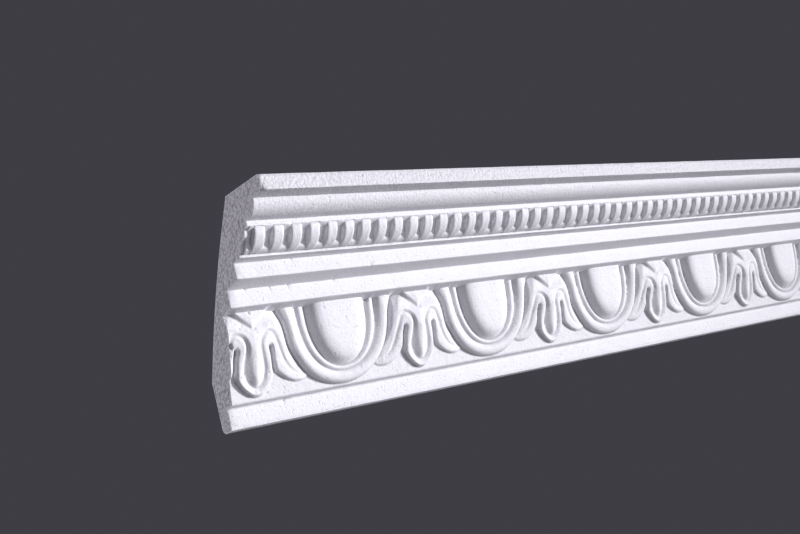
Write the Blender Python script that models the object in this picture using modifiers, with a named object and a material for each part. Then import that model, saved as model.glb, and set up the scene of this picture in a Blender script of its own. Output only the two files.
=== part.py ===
# A length of egg-and-dart cornice in white foam, as it sits in the corner of a wall and a ceiling.
# Metres. +X runs along the moulding to the right, +Y goes into the wall, +Z goes up to the ceiling.
# The origin is the centre of the flat wall face.

from math import cos, pi, radians, sin

import bmesh
import bpy
from mathutils import Matrix, Vector

MM = 0.001

# Driving sizes
UNIT = 102.8 * MM
UNITS_SHOWN = 5.25
LENGTH = UNIT * UNITS_SHOWN
DROP = 100.0 * MM
PROJECTION = 76.3 * MM
WALL_FACE_LOW = 2.4 * MM
WALL_FACE_HIGH = 24.6 * MM
ORIGIN_ABOVE_FOOT = (WALL_FACE_LOW + WALL_FACE_HIGH) / 2

# Section, as distances out from the wall and up from the foot of the moulding
CEILING_FACE_BACK = 47.7 * MM
TOP_FASCIA_LOW = 92.5 * MM
OVOLO_TOP = (68.6 * MM, 91.7 * MM)
OVOLO_FOOT = (62.2 * MM, 84.8 * MM)
FILLET_OUT = 58.65 * MM
FILLET_TOP = 84.4 * MM
FILLET_LOW = 82.0 * MM
SLOT_CEILING = 81.4 * MM
LEDGE_OUT = 47.5 * MM
LEDGE_LOW = 70.65 * MM
BAND_A_OUT = 41.65 * MM
BAND_A_LOW = 62.9 * MM
BAND_B_OUT = 31.15 * MM
BAND_B_TOP = 60.6 * MM
BAND_B_LOW = 52.4 * MM
GROUND_TOP = (21.3 * MM, 51.0 * MM)
GROUND_LOW = (12.9 * MM, 11.0 * MM)
STEP_IN = (8.6 * MM, 10.4 * MM)
FOOT_OUT = 8.1 * MM
FOOT_BACK = 2.0 * MM
BACK_BOW = 2.2 * MM

# Ribs under the fillet
RIB_COUNT = 53
RIB_PITCH = 10.12 * MM
RIB_WIDTH = 5.7 * MM
RIB_RADIUS = 11.05 * MM
RIB_CENTRE = (47.5 * MM, 82.8 * MM)

# Carved band: it leans out towards its top. Its own frame has X along the moulding from an egg's
# centre, Y up the band from its lower lip and Z out from its ground.
BAND_LEAN = radians(11.5)
BAND_TOP = 45.0 * MM
HUB = 36.0 * MM
EGG_HALF_WIDTH = 18.2 * MM
EGG_DROP = 25.2 * MM
EGG_RISE = 20.0 * MM
EGG_HEIGHT = 5.0 * MM
EGG_BASE = 1.3 * MM
LEAF_FROM_END = UNIT / 8

TRIM = 40 * MM
SHARP = radians(32)


def scene_collection(name):
    collection = bpy.data.collections.new(name)
    bpy.context.scene.collection.children.link(collection)
    return collection


def white_foam():
    material = bpy.data.materials.new("white_foam")
    material.use_nodes = True
    shader = material.node_tree.nodes["Principled BSDF"]
    shader.inputs["Base Color"].default_value = (0.86, 0.87, 0.90, 1.0)
    shader.inputs["Roughness"].default_value = 0.7
    shader.inputs["Metallic"].default_value = 0.0
    return material


def flat_outline(name, points, thickness):
    """A closed outline in its own XY plane, given half its thickness to each side."""
    curve = bpy.data.curves.new(name, "CURVE")
    curve.dimensions = "2D"
    curve.fill_mode = "BOTH"
    curve.extrude = thickness / 2
    spline = curve.splines.new("POLY")
    spline.points.add(len(points) - 1)
    for slot, (x, y) in zip(spline.points, points):
        slot.co = (x, y, 0.0, 1.0)
    spline.use_cyclic_u = True
    return bpy.data.objects.new(name, curve)


def tube(name, stations, flatness):
    """A tapering round bead through stations of x, y, z and radius, flattened along z."""
    curve = bpy.data.curves.new(name, "CURVE")
    curve.dimensions = "3D"
    curve.bevel_depth = 1.0
    curve.bevel_resolution = 2
    curve.use_fill_caps = True
    spline = curve.splines.new("POLY")
    spline.points.add(len(stations) - 1)
    for slot, (x, y, z, radius) in zip(spline.points, stations):
        slot.co = (x, y, z / flatness, 1.0)
        slot.radius = radius
    bead = bpy.data.objects.new(name, curve)
    bead.scale.z = flatness
    return bead


def meshed(source, collection, parent_matrix):
    """The curve object as a welded mesh object at the same place, in the given collection."""
    bpy.context.scene.collection.objects.link(source)
    bpy.context.view_layer.update()
    evaluated = source.evaluated_get(bpy.context.evaluated_depsgraph_get())
    mesh = bpy.data.meshes.new_from_object(evaluated)
    mesh.transform(parent_matrix @ source.matrix_world)
    weld(mesh)
    name = source.name
    curve = source.data
    bpy.data.objects.remove(source)
    bpy.data.curves.remove(curve)
    solid = bpy.data.objects.new(name, mesh)
    collection.objects.link(solid)
    return solid


def weld(mesh):
    shape = bmesh.new()
    shape.from_mesh(mesh)
    bmesh.ops.remove_doubles(shape, verts=shape.verts, dist=1e-6)
    bmesh.ops.recalc_face_normals(shape, faces=shape.faces)
    shape.to_mesh(mesh)
    shape.free()


def repeat_along(solid, step, count):
    array = solid.modifiers.new("repeat", "ARRAY")
    array.use_relative_offset = False
    array.use_constant_offset = True
    array.constant_offset_displace = (step, 0.0, 0.0)
    array.count = count
    array.use_merge_vertices = False


def across_section():
    """Turns an outline drawn as out-from-wall and up-from-foot into the moulding's section."""
    turn = Matrix(((0, 0, 1), (-1, 0, 0), (0, 1, 0))).to_4x4()
    return Matrix.Translation((0, 0, -ORIGIN_ABOVE_FOOT)) @ turn


def on_band(x_along):
    """The carved band's own frame, with its X origin this far from the middle of the length."""
    along = Vector((1, 0, 0))
    up = Vector((0, -sin(BAND_LEAN), cos(BAND_LEAN)))
    out = along.cross(up)
    turn = Matrix((along, up, out)).transposed().to_4x4()
    lip = Vector((x_along, -GROUND_LOW[0], GROUND_LOW[1] - ORIGIN_ABOVE_FOOT))
    return Matrix.Translation(lip) @ turn


def quarter_round(start, end, steps, bulge):
    """Points from start to end, bulging out and down like an ovolo."""
    points = []
    for i in range(steps + 1):
        t = i / steps
        swell = bulge * sin(pi * t)
        points.append((start[0] + (end[0] - start[0]) * t + swell,
                       start[1] + (end[1] - start[1]) * t - swell))
    return points


def back_slope(steps):
    """The slightly bowed back, from the top of the wall face up to the ceiling face."""
    points = []
    for i in range(steps + 1):
        t = i / steps
        bow = BACK_BOW * sin(pi * t)
        out = CEILING_FACE_BACK * t
        rise = WALL_FACE_HIGH + (DROP - WALL_FACE_HIGH) * t
        points.append((out - bow * 0.85, rise + bow * 0.53))
    return points


def section_outline():
    outline = [(PROJECTION, DROP), (PROJECTION, TOP_FASCIA_LOW)]
    outline += quarter_round(OVOLO_TOP, OVOLO_FOOT, 4, 0.55 * MM)
    outline += [(FILLET_OUT, FILLET_TOP), (FILLET_OUT, FILLET_LOW), (FILLET_OUT - 1.0 * MM, SLOT_CEILING),
                (55.0 * MM, SLOT_CEILING), (52.0 * MM, 80.2 * MM), (50.6 * MM, 75.6 * MM),
                (LEDGE_OUT, 73.3 * MM), (LEDGE_OUT, LEDGE_LOW),
                (BAND_A_OUT, LEDGE_LOW - 0.15 * MM), (BAND_A_OUT, BAND_A_LOW),
                (BAND_B_OUT, BAND_B_TOP), (BAND_B_OUT, BAND_B_LOW),
                GROUND_TOP, GROUND_LOW, STEP_IN, (FOOT_OUT, STEP_IN[1]),
                (FOOT_OUT, 0.0), (FOOT_BACK, 0.0), (0.6 * MM, 0.9 * MM), (0.0, WALL_FACE_LOW)]
    outline += back_slope(5)
    return outline


def moulding_body():
    body = flat_outline("cornice_length", section_outline(), LENGTH + 2 * TRIM)
    return meshed(body, part, across_section())


def ribs():
    """Quarter-round ribs that fill the hollow under the fillet, with open slots between them."""
    out, up = RIB_CENTRE
    outline = [(out - 1.5 * MM, up), (out - 1.5 * MM, up - RIB_RADIUS)]
    for i in range(7):
        angle = pi / 2 * i / 6
        outline.append((out + RIB_RADIUS * sin(angle), up - RIB_RADIUS * cos(angle)))
    rib = meshed(flat_outline("rib", outline, RIB_WIDTH), carving, across_section())
    rib.location.x = -RIB_PITCH * (RIB_COUNT + 1) / 2
    repeat_along(rib, RIB_PITCH, RIB_COUNT + 2)


def bow_line(half_width, drop, side_radius, foot_radius, height, steps):
    """Stations of a band that hangs round an egg, on the lower half of an ellipse about the hub."""
    stations = [(-half_width, BAND_TOP + 2 * MM, height, side_radius)]
    for i in range(steps + 1):
        angle = pi * i / steps
        radius = foot_radius + (side_radius - foot_radius) * cos(angle) ** 2
        stations.append((-half_width * cos(angle), HUB - drop * sin(angle), height, radius))
    stations.append((half_width, BAND_TOP + 2 * MM, height, side_radius))
    return stations


def mirrored(stations):
    return [(-x, y, z, radius) for x, y, z, radius in stations]


def in_mm(stations):
    return [tuple(value * MM for value in station) for station in stations]


def egg():
    shape = bmesh.new()
    bmesh.ops.create_uvsphere(shape, u_segments=18, v_segments=9, radius=1.0)
    bmesh.ops.rotate(shape, verts=shape.verts, matrix=Matrix.Rotation(pi / 2, 3, "X"))
    for vertex in shape.verts:
        reach = EGG_RISE if vertex.co.y > 0 else EGG_DROP
        vertex.co = (vertex.co.x * EGG_HALF_WIDTH, vertex.co.y * reach + HUB,
                     vertex.co.z * EGG_HEIGHT + EGG_BASE)
    return solid_from(shape, "egg")


def bud():
    """The small seed that hangs between the two limbs of a leaf."""
    shape = bmesh.new()
    bmesh.ops.create_uvsphere(shape, u_segments=8, v_segments=6, radius=1.0)
    bmesh.ops.rotate(shape, verts=shape.verts, matrix=Matrix.Rotation(pi / 2, 3, "X"))
    for vertex in shape.verts:
        vertex.co = (vertex.co.x * 3.4 * MM, (18.0 + vertex.co.y * 11.5) * MM,
                     (0.4 + vertex.co.z * 2.8) * MM)
    return solid_from(shape, "bud")


def solid_from(shape, name):
    mesh = bpy.data.meshes.new(name)
    shape.to_mesh(mesh)
    shape.free()
    return bpy.data.objects.new(name, mesh)


def carve(piece, x_along):
    """Sets one ornament on the band, on every unit of the length."""
    place = on_band(x_along)
    if piece.type == "CURVE":
        piece = meshed(piece, carving, place)
    else:
        piece.data.transform(place)
        weld(piece.data)
        carving.objects.link(piece)
    repeat_along(piece, UNIT, int(UNITS_SHOWN) + 2)


def ornament():
    leaf_x = -LENGTH / 2 + LEAF_FROM_END
    egg_x = leaf_x - UNIT / 2

    carve(egg(), egg_x)
    carve(tube("inner_band", bow_line(21.6 * MM, 26.7 * MM, 1.9 * MM, 1.5 * MM, 0.5 * MM, 14), 0.9), egg_x)
    carve(tube("outer_band", bow_line(29.6 * MM, 31.1 * MM, 5.6 * MM, 3.5 * MM, 0.0, 14), 0.62), egg_x)

    lobe = in_mm(((10.0, 44.5, -0.5, 4.0), (11.8, 38.0, 0.2, 4.6), (12.6, 30.0, 0.3, 5.3),
                  (13.8, 23.0, 0.0, 5.2), (16.8, 16.5, -0.4, 4.6), (21.0, 11.8, -0.3, 3.6),
                  (25.5, 9.0, 0.0, 2.6), (30.0, 8.0, 0.0, 1.2)))
    limb = in_mm(((9.2, 29.0, 2.0, 2.4), (5.8, 26.5, 1.6, 2.3), (7.0, 20.5, 1.0, 2.2), (9.4, 15.5, 0.6, 2.2),
                  (9.8, 11.5, 0.4, 2.1), (7.6, 7.0, 0.3, 2.0), (4.0, 4.6, 0.3, 2.0), (0.0, 3.8, 0.3, 2.0)))
    carve(tube("right_lobe", lobe, 0.9), leaf_x)
    carve(tube("left_lobe", mirrored(lobe), 0.9), leaf_x)
    carve(tube("ribbon", limb + mirrored(limb[:-1])[::-1], 0.95), leaf_x)
    tongue = in_mm(((0.0, 45.0, 0.5, 7.2), (0.0, 40.0, 1.0, 5.2), (0.0, 34.0, 1.6, 2.0)))
    carve(tube("tongue", tongue, 0.55), leaf_x)
    carve(bud(), leaf_x)


def square_cut():
    """The room between the two square-cut ends."""
    shape = bmesh.new()
    bmesh.ops.create_cube(shape, size=1.0)
    box = solid_from(shape, "square_cut")
    box.data.transform(Matrix.Diagonal((LENGTH, 4 * PROJECTION, 4 * DROP, 1.0)))
    cutters.objects.link(box)
    box.hide_render = True
    box.display_type = "WIRE"
    return box


def combine(body, room):
    """Joins the carving to the body and cuts both ends square."""
    join = body.modifiers.new("join", "BOOLEAN")
    join.operation = "UNION"
    join.solver = "EXACT"
    join.operand_type = "COLLECTION"
    join.collection = carving
    cut = body.modifiers.new("cut", "BOOLEAN")
    cut.operation = "INTERSECT"
    cut.solver = "EXACT"
    cut.object = room
    bpy.context.view_layer.update()
    evaluated = body.evaluated_get(bpy.context.evaluated_depsgraph_get())
    mesh = bpy.data.meshes.new_from_object(evaluated)
    body.modifiers.clear()
    body.data = mesh
    shape = bmesh.new()
    shape.from_mesh(mesh)
    bmesh.ops.remove_doubles(shape, verts=shape.verts, dist=2e-6)
    bmesh.ops.dissolve_degenerate(shape, edges=shape.edges, dist=2e-6)
    bmesh.ops.triangulate(shape, faces=shape.faces)
    shape.to_mesh(mesh)
    shape.free()
    mesh.shade_smooth()
    mesh.set_sharp_from_angle(angle=SHARP)


for old in list(bpy.data.objects):
    bpy.data.objects.remove(old)

part = scene_collection("cornice_moulding_length")
cutters = scene_collection("cutters")
carving = scene_collection("carving")

cornice = moulding_body()
ribs()
ornament()
combine(cornice, square_cut())
cornice.data.materials.clear()
cornice.data.materials.append(white_foam())

for tool in list(carving.objects):
    tool.hide_render = True
    tool.display_type = "WIRE"
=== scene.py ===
from math import cos, pi, radians, sin

import bpy
import numpy as np
from mathutils import Matrix, Vector
from mathutils.geometry import delaunay_2d_cdt


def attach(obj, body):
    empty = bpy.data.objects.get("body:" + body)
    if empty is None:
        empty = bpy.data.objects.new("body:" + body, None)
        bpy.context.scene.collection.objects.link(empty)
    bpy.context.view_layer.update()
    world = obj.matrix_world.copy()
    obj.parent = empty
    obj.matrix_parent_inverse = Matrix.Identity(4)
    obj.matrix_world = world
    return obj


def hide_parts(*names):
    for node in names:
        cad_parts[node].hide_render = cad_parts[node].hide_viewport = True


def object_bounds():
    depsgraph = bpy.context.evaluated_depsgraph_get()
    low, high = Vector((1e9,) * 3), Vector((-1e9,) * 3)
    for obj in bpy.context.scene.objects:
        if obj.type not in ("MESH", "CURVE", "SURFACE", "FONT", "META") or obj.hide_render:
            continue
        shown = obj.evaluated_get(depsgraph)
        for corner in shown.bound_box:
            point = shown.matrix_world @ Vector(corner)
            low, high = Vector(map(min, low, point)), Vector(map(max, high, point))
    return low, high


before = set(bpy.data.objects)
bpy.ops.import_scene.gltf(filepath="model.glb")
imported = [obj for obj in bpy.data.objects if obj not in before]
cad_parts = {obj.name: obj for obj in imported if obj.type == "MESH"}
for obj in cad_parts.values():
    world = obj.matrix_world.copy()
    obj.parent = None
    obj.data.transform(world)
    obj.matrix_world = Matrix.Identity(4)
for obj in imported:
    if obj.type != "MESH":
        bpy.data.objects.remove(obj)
cad_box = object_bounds()

# The moulding is worked out in millimetres: x from the left cut end, out from the wall, up from
# the foot. It is turned into the frame's metres only when the mesh is made.
MM = 0.001
LENGTH = (cad_box[1][0] - cad_box[0][0]) / MM
FOOT_Z = cad_box[0][2] / MM
UNIT = LENGTH / 5.25
LEAF_X = UNIT / 8
EGG_X = LEAF_X + UNIT / 2

# Spacing of the mesh along the length
PLAIN_STEP = 4.0
HIDDEN_STEP = 9.0
CARVED_STEPS = [(0, 0.42), (60, 0.5), (160, 0.65), (300, 0.9), (540, 0.95)]
CARVED_ROWS = [(0, 0.4), (9, 0.42), (12, 0.54), (42, 0.54)]

# Plain forms
TOP_OUT, CEILING_UP, CEILING_BACK = 76.3, 100.0, 47.7
TOP_LOW = 92.5
OVOLO_FOOT_OUT, OVOLO_FOOT_UP = 62.3, 84.85
BAND_A_OUT, BAND_B_OUT = 41.65, 31.15
BAND_B_LOW = 52.4
GROUND_TOP_OUT, GROUND_TOP_UP = 21.3, 51.0
LIP_OUT, LIP_UP = 12.9, 11.0
BAND_LEAN = radians(11.5)
FOOT_OUT = 8.1

# Ribs
RIB_COUNT = 53
RIB_PITCH = 10.12
RIB_WIDTH = 5.7
RIB_RADIUS = 10.8
RIB_CENTRE = (47.5, 82.8)
RIB_ROWS = 14
# A rib's foot narrows from here round its curve, in degrees, and would end after this reach
RIB_FOOT_FROM = 55
RIB_FOOT_REACH = 50

# How far the cut tore the front edges back, at most
RAGGED = 0.4

# Share of open beads on the top fascia and on the quarter round under it
TOP_ROUGH = 0.3
OVOLO_ROUGH = 0.12


# Noise and blending

def lattice(seed, size=128):
    return np.random.default_rng(seed).random((size, size)) * 2 - 1


def noise(x, y, scale, seed):
    """Smooth random values from -1 to 1, one cell each scale."""
    table = lattice(seed)
    size = len(table)
    fx, fy = np.asarray(x, float) / scale, np.asarray(y, float) / scale
    ix, iy = np.floor(fx).astype(int), np.floor(fy).astype(int)
    tx, ty = fx - ix, fy - iy
    tx, ty = tx * tx * (3 - 2 * tx), ty * ty * (3 - 2 * ty)
    low = table[ix % size, iy % size] * (1 - tx) + table[(ix + 1) % size, iy % size] * tx
    high = table[ix % size, (iy + 1) % size] * (1 - tx) + table[(ix + 1) % size, (iy + 1) % size] * tx
    return low * (1 - ty) + high * ty


# Outlines on the carved band

def flowing(points, each=5):
    """A smooth line through the points."""
    p = np.array(points, float)
    p = np.vstack([2 * p[0] - p[1], p, 2 * p[-1] - p[-2]])
    line = []
    for i in range(1, len(p) - 2):
        for k in range(each):
            t = k / each
            line.append(0.5 * (2 * p[i] + (p[i + 1] - p[i - 1]) * t
                               + (2 * p[i - 1] - 5 * p[i] + 4 * p[i + 1] - p[i + 2]) * t ** 2
                               + (3 * p[i] - p[i - 1] - 3 * p[i + 1] + p[i + 2]) * t ** 3))
    line.append(p[-2])
    return np.array(line)


def depth_inside(x, s, outline):
    """How far each point is inside a closed outline: negative outside."""
    nearest = np.full(x.shape, 1e9)
    inside = np.zeros(x.shape, bool)
    for (ax, ay), (bx, by) in zip(outline, np.roll(outline, -1, axis=0)):
        dx, dy = bx - ax, by - ay
        span = dx * dx + dy * dy
        if span < 1e-9:
            continue
        t = np.clip(((x - ax) * dx + (s - ay) * dy) / span, 0, 1)
        nearest = np.minimum(nearest, (x - ax - t * dx) ** 2 + (s - ay - t * dy) ** 2)
        if ay != by:
            crosses = (ay > s) != (by > s)
            inside ^= crosses & (x < ax + (s - ay) * dx / dy)
    return np.where(inside, 1, -1) * np.sqrt(nearest)


# The ornament. u is from the middle of a leaf towards the next egg, s is up the band from its lip,
# and the height is out from the band's ground. All of it is laid out on one half of a repeat.

HALF = UNIT / 2
HUB = 36.0

# Rings around the egg: half width at the hub's height, depth below the hub, how much the ring flares
# near the top, and its height at each s
RINGS = [
    ((18.4, 26.0, 0.2), [(8, 1.7), (12, 1.9), (15, 2.0), (20, 1.85), (25, 1.5), (30, 1.05), (35, 0.6), (40, 0.2)]),
    ((20.3, 26.7, 0.4), [(8, 2.8), (12, 3.1), (15, 3.2), (20, 3.1), (25, 2.9), (30, 2.5), (35, 2.2), (40, 1.9)]),
    ((22.4, 27.8, 0.4), [(8, 2.8), (12, 3.1), (15, 3.2), (20, 3.1), (25, 2.9), (30, 2.5), (35, 2.2), (40, 1.9)]),
    ((23.8, 28.4, 0.5), [(7, 1.8), (12, 1.8), (15, 2.0), (20, 2.0), (25, 1.9), (30, 1.5), (35, 1.1), (40, 0.6)]),
    ((26.2, 29.6, 0.7), [(3, 2.9), (12, 3.2), (15, 3.3), (40, 3.2)]),
    ((29.5, 33.0, 1.9), [(1, 2.8), (4, 3.0), (10, 3.5), (16, 3.9), (25, 3.8), (35, 3.9), (40, 3.6)]),
    ((31.1, 33.9, 2.4), [(1, 2.3), (4, 2.5), (10, 2.9), (16, 3.2), (25, 3.1), (35, 3.1), (40, 2.9)]),
    ((32.2, 34.45, 2.8), [(1, 1.3), (4, 1.4), (10, 1.6), (16, 1.8), (25, 1.8), (35, 1.8), (40, 1.7)]),
    ((32.8, 34.85, 3.0), [(3, 0.0), (9, 0.1), (12, 0.2), (40, 0.2)]),
]
EGG_RISE = [(0, 0), (1, 1.27), (2, 2.45), (2.9, 3.38), (3.6, 3.92), (4.4, 4.36), (5.4, 4.7), (6.6, 4.95), (8, 5.12),
            (10, 5.22), (14, 5.25), (20, 5.25)]

# Lines on the leaf as (u, s, height)
MIDDLE = [(0, 1.9, 0), (0, 2.35, 1.6), (0, 3.0, 2.3), (0, 4.1, 2.3), (0, 5.1, 1.9), (0, 6.3, 1.3), (0, 6.9, 2.1),
          (0, 7.6, 2.6), (0, 10, 3.9),
          (0, 15, 4.4), (0, 20, 5.0), (0, 25, 5.8), (0, 30, 5.5), (0, 32.4, 4.9), (0, 33.2, 4.1), (0, 34.6, 4.6),
          (0, 38, 4.6), (0, 42, 4.5), (0, 47, 4.4)]
BASE = [(0, 1.9, 0), (1.3, 2.05, 0), (2.6, 2.6, 0), (3.9, 3.45, 0), (6.8, 5.9, 0), (8.9, 8.5, 0), (10.3, 10.7, 0), (11.7, 12.3, 0.1),
        (13.2, 11.3, 0), (15.6, 9.4, 0), (18.6, 7.6, 0), (22.6, 6.2, 0), (25.6, 6.0, 0), (28.6, 6.6, 0),
        (31.3, 8.0, 0.1)]
VALLEY = [(31.3, 8.0, 0.1), (28.5, 10.4, 0.2), (25, 15, 0.2), (22, 20, 0.2), (20.4, 25, 0.2), (19.6, 30, 0.2),
          (18.3, 35, 0.2), (15.6, 40, 0.2), (13.6, 44, 0.2), (12, 47, 0.2)]
LOBE = [(30.0, 8.4, 0.7), (26.6, 11.2, 1.0), (22.8, 16, 1.5), (19.4, 20.5, 2.3), (17.3, 25, 3.4), (16.0, 30, 3.9),
        (15.0, 35, 3.4), (14.1, 40, 1.3), (12.8, 44, 1.0)]
LOBE_TOP = [(16.0, 26.0, 3.75), (14.6, 30, 4.2), (13.2, 35, 4.1), (10.7, 40, 2.5), (10.4, 42, 2.2)]
BODY = [(0, 7.6, 2.6), (0.9, 7.9, 2.7), (1.6, 8.7, 2.8), (2.3, 10.2, 2.95), (3.1, 15, 3.3), (2.8, 20, 4.3), (2.4, 25, 5.5),
        (3.0, 28.4, 5.5), (4.6, 31.0, 5.1), (6.8, 32.5, 4.8), (9.3, 32.9, 4.6), (11.9, 32.0, 4.4), (13.6, 29.8, 4.2),
        (14.8, 26.4, 3.9), (16.4, 22.2, 3.1), (18.3, 17.6, 2.45), (21.2, 13.4, 1.95), (24.8, 10.7, 1.5)]
BODY_TOP = [(0.5, 8.8, 3.35), (1.1, 10.6, 3.75), (1.6, 15, 4.13), (1.5, 20, 4.85), (1.2, 24, 5.55)]
GROOVE = [(0, 6.3, 1.3), (1.0, 6.5, 1.3), (2.3, 7.3, 1.35), (3.9, 8.9, 1.45), (5.0, 11.2, 1.6), (5.8, 15, 1.9), (5.0, 20, 3.0),
          (4.0, 25, 3.9), (4.5, 28, 4.0), (6.0, 30.2, 4.0), (7.6, 31.3, 3.9), (9.4, 31.7, 3.9), (11.3, 30.8, 3.9),
          (12.5, 28.8, 3.7), (13.9, 25.2, 3.1), (15.7, 20.9, 2.25), (17.6, 16.5, 1.75), (20.4, 12.7, 1.45),
          (24.2, 10.2, 1.25)]
INNER_CREST = [(0, 5.1, 1.9), (1.2, 5.2, 1.9), (3.0, 6.0, 2.0), (5.2, 8.0, 2.2), (6.3, 10.6, 2.4), (7.1, 15, 2.85), (6.4, 20, 3.8),
               (5.4, 25, 4.75), (5.8, 27.6, 4.8), (6.9, 29.2, 4.7), (8.2, 30.1, 4.6), (9.4, 30.2, 4.5),
               (10.4, 29.4, 4.4), (11.2, 28.0, 4.3), (12.6, 24.6, 3.9), (14.3, 20.2, 3.2), (16.1, 15.6, 2.6),
               (19.2, 11.7, 2.1), (23.2, 9.4, 1.7), (25.2, 8.7, 1.45)]
OUTER_CREST = [(0, 3.0, 2.3), (1.2, 3.15, 2.3), (2.5, 3.65, 2.35), (3.7, 4.4, 2.4), (6.2, 6.6, 2.5), (8.2, 9.1, 2.6),
               (9.1, 11.5, 2.7), (8.7, 15, 3.0),
               (8.2, 20, 3.7), (7.8, 24.0, 4.3), (8.3, 25.5, 4.4), (9.6, 26.2, 4.4), (10.9, 25.4, 4.2),
               (11.3, 23.6, 4.0), (12.1, 20, 3.2), (12.6, 15, 2.7), (13.8, 12.9, 2.3), (16.1, 10.6, 2.1),
               (19.0, 8.7, 1.9), (22.6, 7.3, 1.6), (25.7, 6.9, 1.3), (28.9, 7.3, 0.8)]
EYE = [(11.6, 12.5, 0.1), (10.5, 15, 0.8), (10.1, 20, 1.3), (9.1, 23.7, 1.5), (9.2, 24.6, 1.5), (10.1, 24.4, 1.5),
       (10.6, 20, 1.3), (11.2, 15, 0.8), (12.0, 12.4, 0.1)]
TONGUE_FOOT = [(0, 33.2, 4.1), (0.9, 34.3, 3.8), (2.6, 35.6, 3.5), (5.3, 37.6, 3.1), (7.9, 39.6, 2.7),
               (9.9, 41.2, 2.4), (11.4, 43.0, 1.8)]
TONGUE_EDGE = [(0, 34.6, 4.6), (0.8, 35.6, 4.5), (3.1, 37.6, 4.4), (5.5, 39.5, 4.4), (7.7, 41.1, 4.4),
               (10, 43.6, 4.3)]
SHOULDER = [(2.6, 32.6, 4.8), (6.0, 33.9, 4.2), (9.6, 35.2, 4.0), (9.8, 37.2, 3.4)]


def bulge(foot, crest, part, rise):
    """A line between the foot of a slope and its crest, higher than the straight slope there."""
    foot = flowing(foot, 3)
    line = []
    for u, s, height in flowing(crest, 2)[1:]:
        fu, fs, low = foot[np.argmin(np.hypot(foot[:, 0] - u, foot[:, 1] - s))]
        if u > 0.6:
            line.append((fu + (u - fu) * part, fs + (s - fs) * part, low + (height - low) * rise))
    return line


def ring_distance(x, drop, ring):
    """How far points are outside a ring around the egg: negative inside it."""
    a, b, _ = ring
    full = 2.1
    fx, fy = x / a, drop / b
    f = np.maximum((fx ** full + fy ** full) ** (1 / full), 1e-6)
    slope = f ** (1 - full) * np.hypot(fx ** (full - 1) / a, fy ** (full - 1) / b)
    return (f - 1) / slope


def along(table, s):
    places, values = zip(*table)
    return np.interp(s, places, values)


def egg_and_rings(u, s):
    x = np.abs(HALF - u)
    drop = np.clip(HUB - s, 0, None)
    flare = np.clip((s - 30) / 10, 0, 1.6) ** 1.7
    places, heights = [], []
    for ring, table in RINGS:
        places.append(ring_distance(np.clip(x - ring[2] * flare, 0, None), drop, ring))
        heights.append(along(table, s))
    height = heights[0] + along(EGG_RISE, -places[0])
    for i in range(len(RINGS) - 1):
        t = places[i] / np.maximum(places[i] - places[i + 1], 1e-6)
        here = heights[i] + (heights[i + 1] - heights[i]) * np.clip(t, 0, 1)
        if i in (1, 4):
            here = here + 0.22 * np.sin(pi * np.clip(t, 0, 1))
        height = np.where(places[i] >= 0, here, height)
    return np.where(places[-1] >= 0, heights[-1], height)


def spanned(lines, u, s):
    """Heights between lines of (u, s, height), on triangles that keep every line."""
    points, heights, edges = [], [], []
    for line in lines:
        first = len(points)
        points += [Vector(p[:2]) for p in line]
        heights += [p[2] for p in line]
        edges += [(i, i + 1) for i in range(first, len(points) - 1)]
    made, _, faces, origin, _, _ = delaunay_2d_cdt(points, edges, [], 0, 1e-4)
    level = [np.mean([heights[i] for i in start]) if start else None for start in origin]
    corners = np.array([tuple(p) for p in made])
    result = np.full(u.shape, -9.0)
    for face in faces:
        if any(level[i] is None for i in face):
            continue
        (ax, ay), (bx, by), (cx, cy) = corners[list(face)]
        area = (bx - ax) * (cy - ay) - (cx - ax) * (by - ay)
        if abs(area) < 1e-9:
            continue
        box = (u >= min(ax, bx, cx)) & (u <= max(ax, bx, cx)) & (s >= min(ay, by, cy)) & (s <= max(ay, by, cy))
        px, py = u[box], s[box]
        wb = ((px - ax) * (cy - ay) - (cx - ax) * (py - ay)) / area
        wc = ((bx - ax) * (py - ay) - (px - ax) * (by - ay)) / area
        inside = (wb >= -1e-6) & (wc >= -1e-6) & (wb + wc <= 1 + 1e-6)
        values = level[face[0]] * (1 - wb - wc) + level[face[1]] * wb + level[face[2]] * wc
        result[box] = np.where(inside, values, result[box])
    return result


def blurred(table, reach):
    """The table with its edges rounded over about the reach, in cells."""
    size = int(3 * reach)
    weights = np.exp(-0.5 * (np.arange(-size, size + 1) / reach) ** 2)
    weights /= weights.sum()
    for axis in (0, 1):
        wide = np.concatenate([np.take(table, [0] * size, axis), table, np.take(table, [-1] * size, axis)], axis)
        table = np.apply_along_axis(lambda row: np.convolve(row, weights, "valid"), axis, wide)
    return table


CELL = 0.2
MAP_LOW = (-4.0, -3.0)


def height_map():
    """The carving on half a repeat, with a margin, as a table of heights."""
    us = np.arange(MAP_LOW[0], HALF + 4, CELL)
    ss = np.arange(MAP_LOW[1], 47, CELL)
    u, s = np.meshgrid(us, ss, indexing="ij")
    u = np.abs(u)
    u = np.where(u > HALF, 2 * HALF - u, u)
    edge = np.vstack([flowing([p[:2] for p in BASE], 3), flowing([p[:2] for p in VALLEY], 3), [(0, 47)]])
    drawn = [MIDDLE, BASE, VALLEY, LOBE, BODY, GROOVE, INNER_CREST, OUTER_CREST, EYE, TONGUE_FOOT, TONGUE_EDGE,
             SHOULDER, LOBE_TOP, BODY_TOP]
    rounded = [bulge(BASE + EYE, OUTER_CREST[:-2], 0.45, 0.79), bulge(VALLEY, LOBE[1:-1], 0.6, 0.86)]
    leaf = spanned([flowing(line, 3) for line in drawn] + rounded, u, s)
    on_leaf = (depth_inside(u, s, edge) > 0) & (leaf > -5)
    return blurred(np.where(on_leaf, leaf, egg_and_rings(u, s)), 1.0)


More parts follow.
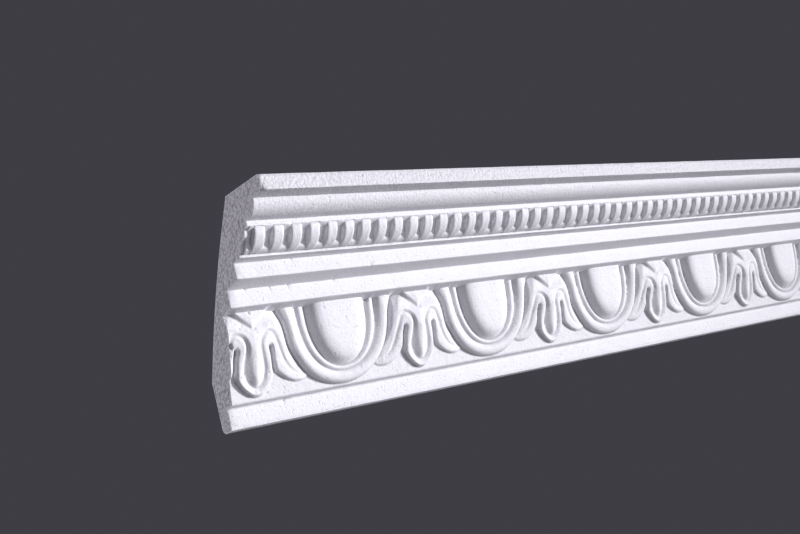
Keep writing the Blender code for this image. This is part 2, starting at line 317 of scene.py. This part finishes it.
def looked_up(table, u, s):
    fu = np.clip((u - MAP_LOW[0]) / CELL, 0, table.shape[0] - 1.001)
    fs = np.clip((s - MAP_LOW[1]) / CELL, 0, table.shape[1] - 1.001)
    iu, js = fu.astype(int), fs.astype(int)
    tu, ts = fu - iu, fs - js
    return ((table[iu, js] * (1 - tu) + table[iu + 1, js] * tu) * (1 - ts)
            + (table[iu, js + 1] * (1 - tu) + table[iu + 1, js + 1] * tu) * ts)


CARVING = height_map()
# How far the height map lies below its own blur: the creases that get painted shade.
CREASES = blurred(CARVING, 1.5) - CARVING

# Small dents and broken spots in the carving: x, s, reach and depth. The last is a crumb left standing.
DENTS = [(0.7, 26.2, 0.8, 1.3), (0.4, 27.6, 0.6, 0.9), (11.9, 41.0, 0.6, 0.6), (54.5, 39.2, 0.5, 0.4),
         (84.2, 40.5, 0.9, 1.2), (74.2, 7.6, 0.6, 0.3), (42.5, 33.0, 0.5, 0.3), (24.5, 17.9, 0.5, -0.6)]


def relief(x, s):
    """Height of the carving above the band's ground."""
    to_leaf = (x - LEAF_X + HALF) % UNIT - HALF
    height = looked_up(CARVING, np.abs(to_leaf), s) + 0.04 * noise(x, s, 2.2, 3) + 0.04 * noise(x, s, 7.0, 4)
    for place, up_band, reach, depth in DENTS:
        height = height - depth * np.exp(-((x - place) ** 2 + (s - up_band) ** 2) / reach ** 2)
    return height


def painted_crease_shade(x, s):
    """Painted shade: from 0 on open surfaces to 1 at the bottom of narrow grooves and dents, where the colour is
    darkened to stand in for shade.
    """
    to_leaf = (x - LEAF_X + HALF) % UNIT - HALF
    depth = np.clip((looked_up(CREASES, np.abs(to_leaf), s) - 0.03) / 0.12, 0, 1)
    for place, up_band, reach, fall in DENTS:
        depth = depth + min(fall, 1) * 0.8 * np.exp(-((x - place) ** 2 + (s - up_band) ** 2) / reach ** 2)
    return np.clip(depth, 0, 1)


# The section

def arc(corner, before, after, radius, steps):
    """Rounds the corner between two straight runs."""
    c, a, b = np.array(corner, float), np.array(before, float), np.array(after, float)
    to_a, to_b = a - c, b - c
    len_a, len_b = np.hypot(*to_a), np.hypot(*to_b)
    to_a, to_b = to_a / len_a, to_b / len_b
    half = np.arccos(np.clip(np.dot(to_a, to_b), -1, 1)) / 2
    cut = min(radius / np.tan(half), 0.45 * len_a, 0.45 * len_b)
    start, end = c + to_a * cut, c + to_b * cut
    return [(1 - t) ** 2 * start + 2 * t * (1 - t) * c + t ** 2 * end for t in np.linspace(0, 1, steps + 1)]


def run(corners, longest=3.0, support=0.5):
    """Rows along a run of (out, up, radius) corners, with each corner rounded and each flat split."""
    rows = [np.array(corners[0][:2], float)]
    for before, corner, after in zip(corners, corners[1:], corners[2:]):
        if corner[2] > 0:
            turn = arc(corner[:2], before[:2], after[:2], corner[2], 2)
        else:
            turn = [np.array(corner[:2], float)]
        extend(rows, turn[0], longest, support)
        rows += turn[1:]
    extend(rows, np.array(corners[-1][:2], float), longest, support)
    return np.array(rows)


def extend(rows, to, longest, support):
    """Adds rows up to a point: close ones by both ends of a flat, to keep it flat in the shading."""
    start = rows[-1]
    span = np.hypot(*(to - start))
    if span > 3 * support:
        way = (to - start) / span
        inner = span - 2 * support
        for k in range(int(np.ceil(inner / longest)) + 1):
            rows.append(start + way * (support + inner * k / int(np.ceil(inner / longest))))
    rows.append(to)


def ovolo():
    """The quarter round under the top fascia, as corners without radius."""
    start, end = np.array((68.6, 91.6)), np.array((OVOLO_FOOT_OUT, OVOLO_FOOT_UP))
    swell = np.array((0.735, -0.678)) * 1.6
    return [(*(start + (end - start) * t + swell * 4 * t * (1 - t)), 0) for t in np.linspace(0, 1, 9)]


def back_corners():
    """The slightly bowed back, from the wall face up to the ceiling face."""
    return [(CEILING_BACK * t - 1.87 * sin(pi * t), 24.6 + 75.4 * t + 1.17 * sin(pi * t), 0)
            for t in np.linspace(0, 1, 9)]


def steps_along(step):
    return np.linspace(0, LENGTH, int(round(LENGTH / step)) + 1)


def plain_zone(rows, step, wave=0.06, chips=()):
    """A zone whose section is the same all along, give or take the foam's unevenness and its chips."""
    x = steps_along(step)
    close = [place + reach * t for place, _, _, reach, _ in chips for t in (-1.4, -1, -0.5, 0, 0.5, 1, 1.4)]
    x = np.unique(np.round(np.r_[x, 0.6, [place for place in close if place > 0.1]], 3))
    out = np.repeat(rows[:, :1], len(x), axis=1)
    up = np.repeat(rows[:, 1:], len(x), axis=1)
    across = np.cumsum(np.r_[0, np.hypot(*np.diff(rows, axis=0).T)])[:, None] + rows[0, 1]
    spread = np.repeat(x[None, :], len(rows), axis=0)
    out = out + wave * noise(spread, across + 0 * spread, 9.0, 11)
    up = up + wave * noise(spread, across + 0 * spread, 8.0, 12)
    ragged = RAGGED * (wave > 0) * (spread < 0.3)
    out = out - ragged * np.abs(noise(across, across, 0.9, 13))
    for place, chip_out, chip_up, reach, depth in chips:
        near = np.exp(-((spread - place) ** 2 + (out - chip_out) ** 2 + (up - chip_up) ** 2) / reach ** 2)
        out = out - depth * near
    return spread, out, up


def upper_zone():
    corners = [(CEILING_BACK + 22, CEILING_UP, 0), (TOP_OUT, CEILING_UP, 1.3), (TOP_OUT, TOP_LOW, 0.45),
               (69.2, 91.75, 0.0)]
    corners += ovolo()
    corners += [(58.65, 84.4, 0.3), (58.65, 82.05, 0.0)]
    chips = [(0.0, TOP_OUT, 92.4, 1.0, 2.2), (0.0, TOP_OUT, 99.9, 0.8, 0.8)]
    return plain_zone(run(corners), PLAIN_STEP, chips=chips)


def lower_zone():
    """From the ledge under the ribs down to the edge of the second fascia."""
    corners = [(47.5, 71.3, 0), (47.5, 70.85, 0.3), (45.2, 70.7, 0.0), (44.8, 71.0, 0.0), (44.4, 70.65, 0.0),
               (BAND_A_OUT, 70.35, 0.3),
               (BAND_A_OUT, 62.9, 0.45), (BAND_B_OUT, 60.6, 0.3), (BAND_B_OUT, BAND_B_LOW, 0.45),
               (BAND_B_OUT - 1.6, BAND_B_LOW - 0.2, 0)]
    chips = [(31, BAND_A_OUT, 70.1, 0.5, 0.5), (22.5, BAND_B_OUT, 60.4, 0.5, 0.5), (9, BAND_B_OUT, 60.4, 0.4, 0.4),
             (33.0, BAND_B_OUT, 60.4, 0.6, 0.6), (60, BAND_B_OUT, 60.4, 0.6, 0.5), (77, BAND_A_OUT, 63.1, 0.6, 0.5)]
    return plain_zone(run(corners, longest=1.9), PLAIN_STEP, chips=chips)


def foot_zone():
    corners = [(LIP_OUT - 1.3, LIP_UP - 0.15, 0), (8.6, 10.4, 0.3), (FOOT_OUT, 9.9, 0.0), (FOOT_OUT, 0, 2.0),
               (2.0, 0, 0.5), (0.6, 0.9, 0), (0, 2.4, 0.5), (0, 8, 0)]
    chips = [(30.9, FOOT_OUT, 9.9, 0.5, 0.7), (31.5, FOOT_OUT + 0.4, 10.4, 0.4, 0.7)]
    return plain_zone(run(corners, longest=1.9), PLAIN_STEP, chips=chips)


def back_zone():
    corners = [(0, 14, 0)] + back_corners() + [(CEILING_BACK + 15, CEILING_UP, 0)]
    return plain_zone(run(corners, longest=12.0), HIDDEN_STEP, 0.0)


# Ribs

def rib_profile(inset):
    """Rows of a rib: the quarter round, drawn in by the inset at its worn side edges."""
    out, up = RIB_CENTRE
    radius = RIB_RADIUS - inset
    angles = np.linspace(radians(4), radians(90), RIB_ROWS - 1)
    rows = [(58.5, 81.95)] + [(out + radius * cos(a), up - radius * sin(a)) for a in angles]
    return np.array(rows)


def slot_profile():
    corners = [(58.45, 81.75), (57.7, 81.2), (56.8, 80.9), (55.9, 80.5), (55.2, 79.9), (54.4, 79.1),
               (53.6, 78.2), (52.8, 77.2), (52.2, 76.2), (51.9, 75.2), (51.8, 74.2), (51.5, 73.3),
               (50.0, 72.4), (47.5, 72.0)]
    return np.array(corners)


def stump_profile():
    """What is left of the rib that the left cut went through: its face broken away, a hole under it."""
    corners = [(58.5, 81.95), (56.6, 81.6), (56.0, 81.0), (55.7, 80.3), (55.5, 79.5), (55.2, 78.7),
               (54.6, 78.0), (53.2, 77.6), (51.6, 77.1), (50.6, 76.2), (50.0, 75.2), (49.4, 74.2),
               (48.6, 73.4), (47.5, 72.8)]
    return np.array(corners)


def rib_zone():
    """The row of ribs with the slots between them. Each rib narrows to a rounded foot."""
    first = LENGTH / 2 - RIB_PITCH * (RIB_COUNT - 1) / 2
    rib, edge, slot, stump = rib_profile(0.0), rib_profile(0.28), slot_profile(), stump_profile()
    stops = [(place, place, stump) for place in (0.0, 0.6, 1.3)]
    stops += [(place, place, slot) for place in (1.6, 2.2, 2.9)]
    rng = np.random.default_rng(7)
    for k in range(RIB_COUNT):
        left = first + RIB_PITCH * k - RIB_WIDTH / 2 + rng.uniform(-0.08, 0.08)
        right = left + RIB_WIDTH + rng.uniform(-0.08, 0.08)
        middle = (left + right) / 2
        stops += [(left - 0.14, middle, slot), (left, middle, edge), (left + 0.35, middle, rib)]
        stops += [(left + (right - left) * t, middle, rib) for t in (0.22, 0.41, 0.59, 0.78)]
        stops += [(right - 0.35, middle, rib), (right, middle, edge), (right + 0.14, middle, slot)]
        gap = RIB_PITCH - RIB_WIDTH
        if k < RIB_COUNT - 1:
            stops += [(right + gap * t, right + gap * t, slot) for t in (0.14, 0.5, 0.87)]
    stops += [((stops[-1][0] + LENGTH) / 2, LENGTH, slot), (LENGTH, LENGTH, slot)]
    x = np.array([place for place, _, _ in stops])
    middle = np.array([place for _, place, _ in stops])
    out = np.array([rows[:, 0] for _, _, rows in stops]).T
    up = np.array([rows[:, 1] for _, _, rows in stops]).T
    turned = np.r_[0, np.linspace(4, 90, RIB_ROWS - 1)]
    width = np.sqrt(1 - np.clip((turned - RIB_FOOT_FROM) / RIB_FOOT_REACH, 0, 1) ** 2)
    spread = middle + (x - middle) * width[:, None]
    worn = 0.12 * noise(spread, out + up, 1.9, 21)
    return spread, out + worn, up + 0.08 * noise(spread, out - up, 1.7, 22)


# The carved band

def graded(table, end):
    """Places from 0 to the end whose spacing follows the table."""
    places = [0.0]
    while places[-1] < end:
        places.append(places[-1] + along(table, places[-1]))
    return np.array(places) * end / places[-1]


def carved_zone():
    x = graded(CARVED_STEPS, LENGTH)
    top = np.full(len(x), 42.0)
    for _ in range(4):
        top = 40.3 + 0.355 * relief(x, top)
    part = graded(CARVED_ROWS, 42.0)[::-1, None] / 42.0
    s = part * top[None, :]
    spread = np.repeat(x[None, :], len(part), axis=0)
    height = relief(spread, s)
    lip = np.clip(s / 0.6, 0, 1)
    height = height * lip - 0.25 * (1 - lip)
    out = LIP_OUT + s * sin(BAND_LEAN) + height * cos(BAND_LEAN)
    up = LIP_UP + s * cos(BAND_LEAN) - height * sin(BAND_LEAN)
    # The fourth grid is the painted crease shade at each point.
    return spread, out, up, painted_crease_shade(spread, s) * lip


# Skin and cut ends

class Skin:
    """Collects points and faces."""

    def __init__(self):
        self.points = []
        self.crease_shade = []
        self.faces = []

    # crease_shade is each point's painted shade, 0 where there is none.
    def add(self, x, out, up, crease_shade=None):
        start = len(self.points)
        self.points += list(zip(x, out, up))
        self.crease_shade += list(np.zeros(len(x)) if crease_shade is None else crease_shade)
        return np.arange(start, start + len(x))

    def zone(self, grids):
        ids = [self.add(*(grid[r] for grid in grids)) for r in range(len(grids[0]))]
        for upper, lower in zip(ids, ids[1:]):
            for c in range(len(upper) - 1):
                self.faces.append((upper[c], lower[c], lower[c + 1], upper[c + 1]))
        return ids

    def zip_rows(self, upper, lower):
        """Joins two rows whose points are spaced differently."""
        i = j = 0
        while i < len(upper) - 1 or j < len(lower) - 1:
            ahead = j == len(lower) - 1
            if not ahead and i < len(upper) - 1:
                ahead = self.points[upper[i + 1]][0] <= self.points[lower[j + 1]][0]
            if ahead:
                self.faces.append((upper[i], lower[j], upper[i + 1]))
                i += 1
            else:
                self.faces.append((upper[i], lower[j], lower[j + 1]))
                j += 1


def grain(a, b, seed):
    """Rounded beads about 1.6 mm across, as on a cut through foam: about -1 between them to 1."""
    pitch = 1.55
    rng = np.random.default_rng(seed)
    cols, rows = int(90 / pitch), int(110 / pitch)
    ga, gb = np.meshgrid(np.arange(cols) * pitch, np.arange(rows) * pitch)
    ga = ga + rng.uniform(-0.5, 0.5, ga.shape) * pitch
    gb = gb + rng.uniform(-0.5, 0.5, gb.shape) * pitch
    lift = rng.uniform(-0.6, 0.4, ga.shape).ravel()
    beads = np.c_[ga.ravel(), gb.ravel()]
    result = np.empty(len(a))
    for i in range(0, len(a), 500):
        d = (a[i:i + 500, None] - beads[:, 0]) ** 2 + (b[i:i + 500, None] - beads[:, 1]) ** 2
        near = d.argmin(axis=1)
        result[i:i + 500] = 1 - 1.9 * np.sqrt(d.min(axis=1)) + lift[near]
    return result


def cut_end(skin, loop, outward, spacing, seed):
    """Closes one end with the rough face that the cut left."""
    rim = np.array([skin.points[i] for i in loop])
    outline = rim[:, 1:]
    low, high = outline.min(axis=0), outline.max(axis=0)
    rng = np.random.default_rng(seed)
    rows = np.arange(low[1], high[1], spacing * 0.87)
    cols = np.arange(low[0], high[0], spacing)
    a, b = np.meshgrid(cols, rows)
    a = a + (np.arange(len(rows)) % 2)[:, None] * spacing / 2
    a = (a + rng.uniform(-0.2, 0.2, a.shape) * spacing).ravel()
    b = (b + rng.uniform(-0.2, 0.2, b.shape) * spacing).ravel()
    depth = depth_inside(a, b, outline)
    keep = depth > spacing * 0.45
    a, b, depth = a[keep], b[keep], depth[keep]
    rough = 0.11 * grain(a, b, seed) * np.clip(depth / 0.8, 0, 1) + 0.10 * noise(a, b, 9.0, seed)
    base = rim[0, 0]
    ids = np.r_[loop, skin.add(base + outward * rough, a, b)]
    flat = [Vector((p[0], p[1])) for p in outline] + [Vector(p) for p in zip(a, b)]
    count = len(loop)
    edges = [(i, (i + 1) % count) for i in range(count)]
    _, _, faces, origin, _, _ = delaunay_2d_cdt(flat, edges, [tuple(range(count))], 1, 1e-7)
    turn = -outward
    for face in faces:
        corners = [int(ids[origin[v][0]]) for v in face]
        skin.faces.append(tuple(corners[::int(turn)]))


def build_skin():
    skin = Skin()
    zones = [skin.zone(grids) for grids in
             (upper_zone(), rib_zone(), lower_zone(), carved_zone(), foot_zone(), back_zone())]
    for above, below in zip(zones, zones[1:] + zones[:1]):
        skin.zip_rows(above[-1], below[0])
    plain_end = len(skin.points)
    left = [row[0] for ids in zones for row in ids]
    right = [row[-1] for ids in zones for row in ids]
    cut_end(skin, left, -1, 0.72, 31)
    cut_end(skin, right, 1, 1.0, 32)
    return skin, plain_end


def open_beads(raw, plain_end):
    """How far the foam's beads lie open at each point: fully on the cut ends, a little at the top."""
    share = np.zeros(len(raw), np.float32)
    front = raw[:, 1] > OVOLO_FOOT_OUT - 1
    share[front & (raw[:, 2] > OVOLO_FOOT_UP - 0.2)] = OVOLO_ROUGH
    share[front & (raw[:, 2] > TOP_LOW - 0.6)] = TOP_ROUGH
    share[plain_end:] = 1.0
    return share


def moulding():
    skin, plain_end = build_skin()
    raw = np.array(skin.points)
    points = np.c_[raw[:, 0] - LENGTH / 2, -raw[:, 1], raw[:, 2] + FOOT_Z] * MM
    mesh = bpy.data.meshes.new("cornice")
    mesh.from_pydata(points.tolist(), [], [tuple(int(i) for i in face) for face in skin.faces])
    mesh.update()
    cut = mesh.attributes.new("cut", "FLOAT", "POINT")
    cut.data.foreach_set("value", open_beads(raw, plain_end))
    # Painted shade for the creases, passed to the material as a point attribute.
    crease_shade = mesh.attributes.new("crease_shade", "FLOAT", "POINT")
    crease_shade.data.foreach_set("value", np.array(skin.crease_shade, np.float32))
    piece = bpy.data.objects.new("cornice", mesh)
    bpy.context.scene.collection.objects.link(piece)
    mesh.shade_smooth()
    mesh.set_sharp_from_angle(angle=radians(48))
    return piece


# Materials

def node(tree, kind, **settings):
    made = tree.nodes.new(kind)
    for name, value in settings.items():
        setattr(made, name, value)
    return made


def foam():
    """White expanded foam: dense skin with fine grain and pits, open beads on the cut ends, and painted shade in its
    creases and concave corners.
    """
    material = bpy.data.materials.new("white_foam")
    material.use_nodes = True
    tree = material.node_tree
    link = tree.links.new
    shader = tree.nodes["Principled BSDF"]
    shader.inputs["Roughness"].default_value = 0.62
    shader.inputs["Specular IOR Level"].default_value = 0.35
    shader.inputs["Subsurface Weight"].default_value = 0.0
    where = node(tree, "ShaderNodeTexCoord").outputs["Object"]
    cut = node(tree, "ShaderNodeAttribute", attribute_name="cut").outputs["Fac"]

    beads = node(tree, "ShaderNodeTexVoronoi", feature="F1")
    beads.inputs["Scale"].default_value = 620
    link(where, beads.inputs["Vector"])
    fine = node(tree, "ShaderNodeTexNoise")
    fine.inputs["Scale"].default_value = 1500
    fine.inputs["Detail"].default_value = 3
    link(where, fine.inputs["Vector"])
    pits = node(tree, "ShaderNodeTexNoise")
    pits.inputs["Scale"].default_value = 700
    pits.inputs["Detail"].default_value = 1
    link(where, pits.inputs["Vector"])
    pit = node(tree, "ShaderNodeMapRange")
    pit.inputs["From Min"].default_value = 0.66
    pit.inputs["From Max"].default_value = 0.74
    link(pits.outputs["Fac"], pit.inputs["Value"])

    cut_strength = node(tree, "ShaderNodeMapRange")
    cut_strength.inputs["To Min"].default_value = 0.10
    cut_strength.inputs["To Max"].default_value = 0.8
    link(cut, cut_strength.inputs["Value"])

    bump_beads = node(tree, "ShaderNodeBump", invert=True)
    bump_beads.inputs["Distance"].default_value = 0.0006
    link(cut_strength.outputs["Result"], bump_beads.inputs["Strength"])
    link(beads.outputs["Distance"], bump_beads.inputs["Height"])
    bump_fine = node(tree, "ShaderNodeBump")
    bump_fine.inputs["Distance"].default_value = 0.0002
    bump_fine.inputs["Strength"].default_value = 0.35
    link(fine.outputs["Fac"], bump_fine.inputs["Height"])
    link(bump_beads.outputs["Normal"], bump_fine.inputs["Normal"])
    bump_pits = node(tree, "ShaderNodeBump", invert=True)
    bump_pits.inputs["Distance"].default_value = 0.0004
    bump_pits.inputs["Strength"].default_value = 0.5
    link(pit.outputs["Result"], bump_pits.inputs["Height"])
    link(bump_fine.outputs["Normal"], bump_pits.inputs["Normal"])
    link(bump_pits.outputs["Normal"], shader.inputs["Normal"])

    tint = node(tree, "ShaderNodeMix", data_type="RGBA")
    tint.inputs["A"].default_value = (0.85, 0.846, 0.873, 1)
    tint.inputs["B"].default_value = (0.84, 0.815, 0.87, 1)
    link(cut, tint.inputs["Factor"])
    bead_shade = node(tree, "ShaderNodeMapRange")
    bead_shade.inputs["From Min"].default_value = 0.1
    bead_shade.inputs["From Max"].default_value = 0.8
    bead_shade.inputs["To Min"].default_value = 1.0
    bead_shade.inputs["To Max"].default_value = 0.64
    link(beads.outputs["Distance"], bead_shade.inputs["Value"])
    open_beads = node(tree, "ShaderNodeMix", data_type="RGBA", blend_type="MULTIPLY")
    link(cut, open_beads.inputs["Factor"])
    link(tint.outputs["Result"], open_beads.inputs["A"])
    link(bead_shade.outputs["Result"], open_beads.inputs["B"])
    mottle = node(tree, "ShaderNodeMix", data_type="RGBA", blend_type="MULTIPLY")
    shade = node(tree, "ShaderNodeMapRange")
    shade.inputs["From Min"].default_value = 0.3
    shade.inputs["From Max"].default_value = 0.7
    shade.inputs["To Min"].default_value = 0.90
    shade.inputs["To Max"].default_value = 1.0
    link(fine.outputs["Fac"], shade.inputs["Value"])
    mottle.inputs["Factor"].default_value = 1.0
    link(open_beads.outputs["Result"], mottle.inputs["A"])
    link(shade.outputs["Result"], mottle.inputs["B"])
    # Painted shade: the colour is darkened where the surface is concave, in inner corners and creases, to stand in
    # for the shade there.
    corner = node(tree, "ShaderNodeMapRange")
    corner.inputs["From Min"].default_value = 0.36
    corner.inputs["From Max"].default_value = 0.49
    corner.inputs["To Min"].default_value = 0.7
    corner.inputs["To Max"].default_value = 1.0
    link(node(tree, "ShaderNodeNewGeometry").outputs["Pointiness"], corner.inputs["Value"])
    painted_corner_shade = node(tree, "ShaderNodeMix", data_type="RGBA", blend_type="MULTIPLY")
    painted_corner_shade.inputs["Factor"].default_value = 1.0
    link(mottle.outputs["Result"], painted_corner_shade.inputs["A"])
    link(corner.outputs["Result"], painted_corner_shade.inputs["B"])
    # Painted shade: the crease shade attribute darkens the colour towards grey at the bottom of the carving's
    # grooves and dents.
    crease_shade = node(tree, "ShaderNodeAttribute", attribute_name="crease_shade").outputs["Fac"]
    shady = node(tree, "ShaderNodeMix", data_type="RGBA")
    shady.inputs["B"].default_value = (0.54, 0.53, 0.56, 1)
    link(crease_shade, shady.inputs["Factor"])
    link(painted_corner_shade.outputs["Result"], shady.inputs["A"])
    link(shady.outputs["Result"], shader.inputs["Base Color"])
    return material


FLOOR_Z = -1.4
FLOOR_FADE = 0.7
FLOOR_END = 3.0


def pale_floor():
    """A pale floor well below the moulding, as under a length that is fixed up high.

    It fades out with the distance from its centre, so no horizon shows.
    """
    bpy.ops.mesh.primitive_plane_add(size=2 * FLOOR_END, location=(0, 0, FLOOR_Z))
    floor = bpy.context.object
    floor.name = "floor"
    material = bpy.data.materials.new("pale_floor")
    material.use_nodes = True
    tree = material.node_tree
    link = tree.links.new
    shader = tree.nodes["Principled BSDF"]
    shader.inputs["Base Color"].default_value = (0.86, 0.86, 0.87, 1)
    shader.inputs["Roughness"].default_value = 0.9
    where = node(tree, "ShaderNodeTexCoord").outputs["Object"]
    reach = node(tree, "ShaderNodeVectorMath", operation="LENGTH")
    link(where, reach.inputs[0])
    fade = node(tree, "ShaderNodeMapRange", interpolation_type="SMOOTHSTEP")
    fade.inputs["From Min"].default_value = FLOOR_FADE
    fade.inputs["From Max"].default_value = FLOOR_END
    link(reach.outputs["Value"], fade.inputs["Value"])
    mix = node(tree, "ShaderNodeMixShader")
    link(fade.outputs["Result"], mix.inputs["Fac"])
    link(shader.outputs["BSDF"], mix.inputs[1])
    link(node(tree, "ShaderNodeBsdfTransparent").outputs["BSDF"], mix.inputs[2])
    link(mix.outputs["Shader"], tree.nodes["Material Output"].inputs["Surface"])
    floor.data.materials.append(material)


# Camera, worked out from the photograph: where it stands and looks in the frame of the table that
# the moulding stands on there, with its foot on the table and its back leaning against the next one.

LEAN_BACK = radians(22.9)
FOOT_BEHIND = -1.8
CAMERA_PLACE = (-267.5, -430.0, 138.8)
CAMERA_FORWARD = (0.6515, 0.7490, -0.1211)
LENS = 50.0
SENSOR = 36.0


def camera():
    turn = Matrix.Rotation(LEAN_BACK, 3, "X")
    place = turn @ Vector(CAMERA_PLACE) + Vector((-LENGTH / 2, FOOT_BEHIND, FOOT_Z))
    forward = (turn @ Vector(CAMERA_FORWARD)).normalized()
    table_up = turn @ Vector((0, 0, 1))
    right = forward.cross(table_up).normalized()
    up = right.cross(forward)
    data = bpy.data.cameras.new("camera")
    data.lens = LENS
    data.sensor_width = SENSOR
    data.clip_start = 0.01
    data.clip_end = 200
    made = bpy.data.objects.new("camera", data)
    axes = Matrix((right, up, -forward)).transposed().to_4x4()
    made.matrix_world = Matrix.Translation(place * MM) @ axes
    bpy.context.scene.collection.objects.link(made)
    bpy.context.scene.camera = made


LIGHT_COLOUR = (0.974, 0.967, 1)
# The key is a soft spot, aimed past the left end, so that it falls off towards the right one
KEY_CONE = radians(17.8)
KEY_RADIUS = 0.6


def lamp(data, place, aim, power):
    data.energy = power
    data.color = LIGHT_COLOUR
    made = bpy.data.objects.new(data.name, data)
    way = Vector(aim) - Vector(place)
    made.location = place
    made.rotation_euler = way.to_track_quat("-Z", "Y").to_euler()
    bpy.context.scene.collection.objects.link(made)


def spot_light(name, place, aim, power):
    data = bpy.data.lights.new(name, "SPOT")
    data.spot_size = KEY_CONE
    data.spot_blend = 1
    data.shadow_soft_size = KEY_RADIUS
    lamp(data, place, aim, power)


def area_light(name, place, aim, size, power):
    data = bpy.data.lights.new(name, "AREA")
    data.shape = "DISK"
    data.size = size
    lamp(data, place, aim, power)


def lights():
    spot_light("key", (5.0, -4.2, 0.22), (-0.6, 0, 0), 2650)
    area_light("left", (-2.0, -1.5, 1.1), (0, 0, 0), 1.0, 6.5)
    area_light("side", (-2.0, 1.7, 0.5), (-0.2, 0, 0), 1.0, 32)
    area_light("table", (0.15, -1.5, -1.2), (0, 0, 0), 1.0, 8.5)
    area_light("top", (-0.4, 0.9, 2.6), (0, 0.2, -0.75), 2.0, 14)
    world = bpy.data.worlds.new("studio")
    bpy.context.scene.world = world
    world.use_nodes = True
    world.node_tree.nodes["Background"].inputs["Color"].default_value = (0.865, 0.86, 1.0, 1)
    world.node_tree.nodes["Background"].inputs["Strength"].default_value = 0.11
    bpy.context.scene.view_settings.view_transform = "Standard"
    bpy.context.scene.view_settings.gamma = 0.76


camera()
lights()
pale_floor()
cornice = moulding()
cornice.data.materials.append(foam())
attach(cornice, "root")
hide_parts("cornice_length")
